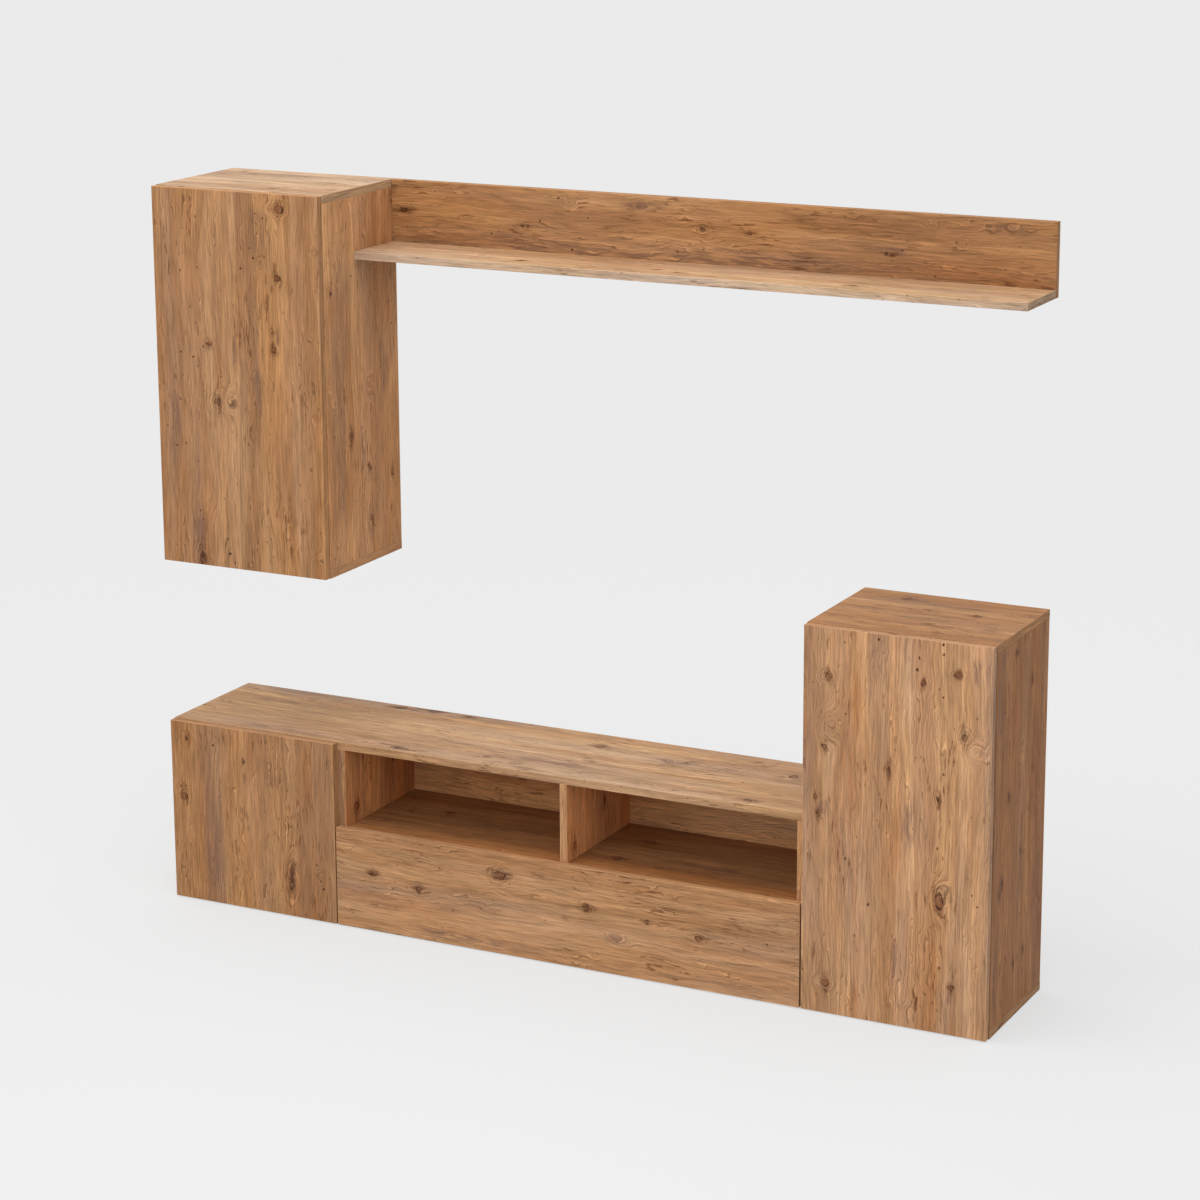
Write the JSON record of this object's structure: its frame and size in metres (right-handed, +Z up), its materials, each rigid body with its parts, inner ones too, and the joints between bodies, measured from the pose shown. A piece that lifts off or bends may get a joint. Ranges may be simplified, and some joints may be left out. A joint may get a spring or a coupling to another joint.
{
  "type": "television wall unit",
  "caption": "Television wall unit in knotty pine decor: wall cabinet, wall shelf with backboard, low bench with open bays over a drop flap, and a tall end cabinet with a door.",
  "frame": {"origin": "on the floor, under the centre of the whole unit's box", "axes": "+X to the right along the width, +Y to the wall, +Z up; the fronts look along -Y"},
  "size_m": [1.8, 0.2986, 1.4975],
  "materials": {
    "front_decor": "knotty pine decor, satin, grain along the long way of doors",
    "top_decor": "knotty pine decor, satin, grain lengthways",
    "side_decor": "knotty pine decor, satin",
    "backboard_decor": "knotty pine decor, satin",
    "back_decor": "thin pine-coloured back, matt",
    "hinge_steel": "nickel-plated, satin",
    "stay_steel": "nickel-plated, satin",
    "bracket_steel": "zinc-plated",
    "latch_plastic": "light grey, matt"
  },
  "bodies": {
    "carcasses": {"wall_cabinet_bottom": "side_decor", "wall_cabinet_top": "top_decor", "wall_cabinet_left_side": "side_decor", "wall_cabinet_right_side": "side_decor", "wall_cabinet_back": "back_decor", "wall_cabinet_shelf": "side_decor", "wall_cabinet_hinge_lower_arm": "hinge_steel", "wall_cabinet_hinge_upper_arm": "hinge_steel", "wall_cabinet_latch_housing": "latch_plastic", "hanging_bracket_left": "bracket_steel", "hanging_bracket_right": "bracket_steel", "wall_shelf_backboard": "backboard_decor", "wall_shelf_board": "top_decor", "bench_bottom": "side_decor", "bench_top": "top_decor", "bench_left_side": "side_decor", "bench_partition": "side_decor", "bench_left_upright": "side_decor", "bench_right_upright": "side_decor", "bench_bay_floor": "side_decor", "bench_divider": "side_decor", "bench_back": "back_decor", "bench_cabinet_shelf": "side_decor", "bench_hinge_lower_arm": "hinge_steel", "bench_hinge_upper_arm": "hinge_steel", "bench_door_latch_housing": "latch_plastic", "flap_hinge_left_arm": "hinge_steel", "flap_hinge_middle_arm": "hinge_steel", "flap_hinge_right_arm": "hinge_steel", "bench_flap_latch_housing": "latch_plastic", "flap_stay_stud": "stay_steel", "tall_cabinet_bottom": "side_decor", "tall_cabinet_top": "top_decor", "tall_cabinet_left_side": "side_decor", "tall_cabinet_right_side": "side_decor", "tall_cabinet_back": "back_decor", "tall_cabinet_shelf": "side_decor", "tall_cabinet_hinge_lower_arm": "hinge_steel", "tall_cabinet_hinge_upper_arm": "hinge_steel", "tall_cabinet_latch_housing": "latch_plastic"},
    "wall_door": {"wall_cabinet_door": "front_decor", "wall_cabinet_hinge_lower_cup": "hinge_steel", "wall_cabinet_hinge_upper_cup": "hinge_steel"},
    "bench_leaf": {"bench_door": "front_decor", "bench_hinge_lower_cup": "hinge_steel", "bench_hinge_upper_cup": "hinge_steel"},
    "flap": {"bench_flap": "front_decor", "flap_hinge_left_cup": "hinge_steel", "flap_hinge_middle_cup": "hinge_steel", "flap_hinge_right_cup": "hinge_steel", "flap_stay_bracket": "stay_steel"},
    "stay_arm": {"flap_stay_arm": "stay_steel"},
    "tall_door": {"tall_cabinet_door": "front_decor", "tall_cabinet_hinge_lower_cup": "hinge_steel", "tall_cabinet_hinge_upper_cup": "hinge_steel"},
    "wall_plunger": {"wall_cabinet_latch_plunger": "latch_plastic"},
    "bench_plunger": {"bench_door_latch_plunger": "latch_plastic"},
    "flap_plunger": {"bench_flap_latch_plunger": "latch_plastic"},
    "tall_plunger": {"tall_cabinet_latch_plunger": "latch_plastic"}
  },
  "joints": [
    {"name": "wall_cabinet_door_swing", "type": "hinge", "parent": "carcasses", "child": "wall_door", "pos_m": [-0.894, -0.14625, 0.7275], "axis": [0, 0, -1], "range_deg": [0, 105]},
    {"name": "bench_door_swing", "type": "hinge", "parent": "carcasses", "child": "bench_leaf", "pos_m": [-0.894, -0.14625, 0.002], "axis": [0, 0, -1], "range_deg": [0, 105]},
    {"name": "tall_cabinet_door_swing", "type": "hinge", "parent": "carcasses", "child": "tall_door", "pos_m": [0.894, -0.14625, 0.002], "axis": [0, 0, 1], "range_deg": [0, 105]},
    {"name": "flap_drop", "type": "hinge", "parent": "carcasses", "child": "flap", "pos_m": [0, -0.14625, 0.006], "axis": [1, 0, 0], "range_deg": [0, 90]},
    {"name": "flap_stay_turn", "type": "hinge", "parent": "flap", "child": "stay_arm", "pos_m": [-0.4837, -0.12125, 0.15], "axis": [1, 0, 0], "range_deg": [-45, 0]},
    {"name": "wall_cabinet_latch_push", "type": "slide", "parent": "carcasses", "child": "wall_plunger", "axis": [0, -1, 0], "range_m": [0, 0.037]},
    {"name": "bench_door_latch_push", "type": "slide", "parent": "carcasses", "child": "bench_plunger", "axis": [0, -1, 0], "range_m": [0, 0.037]},
    {"name": "tall_cabinet_latch_push", "type": "slide", "parent": "carcasses", "child": "tall_plunger", "axis": [0, -1, 0], "range_m": [0, 0.037]},
    {"name": "flap_latch_push", "type": "slide", "parent": "carcasses", "child": "flap_plunger", "axis": [0, -1, 0], "range_m": [0, 0.032]}
  ],
  "couplings": [
    {"joint": "flap_stay_turn", "follows": "flap_drop", "ratio": -0.5},
    {"joint": "wall_cabinet_latch_push", "follows": "wall_cabinet_door_swing", "m_per_rad": 0.02},
    {"joint": "bench_door_latch_push", "follows": "bench_door_swing", "m_per_rad": 0.02},
    {"joint": "tall_cabinet_latch_push", "follows": "tall_cabinet_door_swing", "m_per_rad": 0.02},
    {"joint": "flap_latch_push", "follows": "flap_drop", "m_per_rad": 0.02}
  ]
}
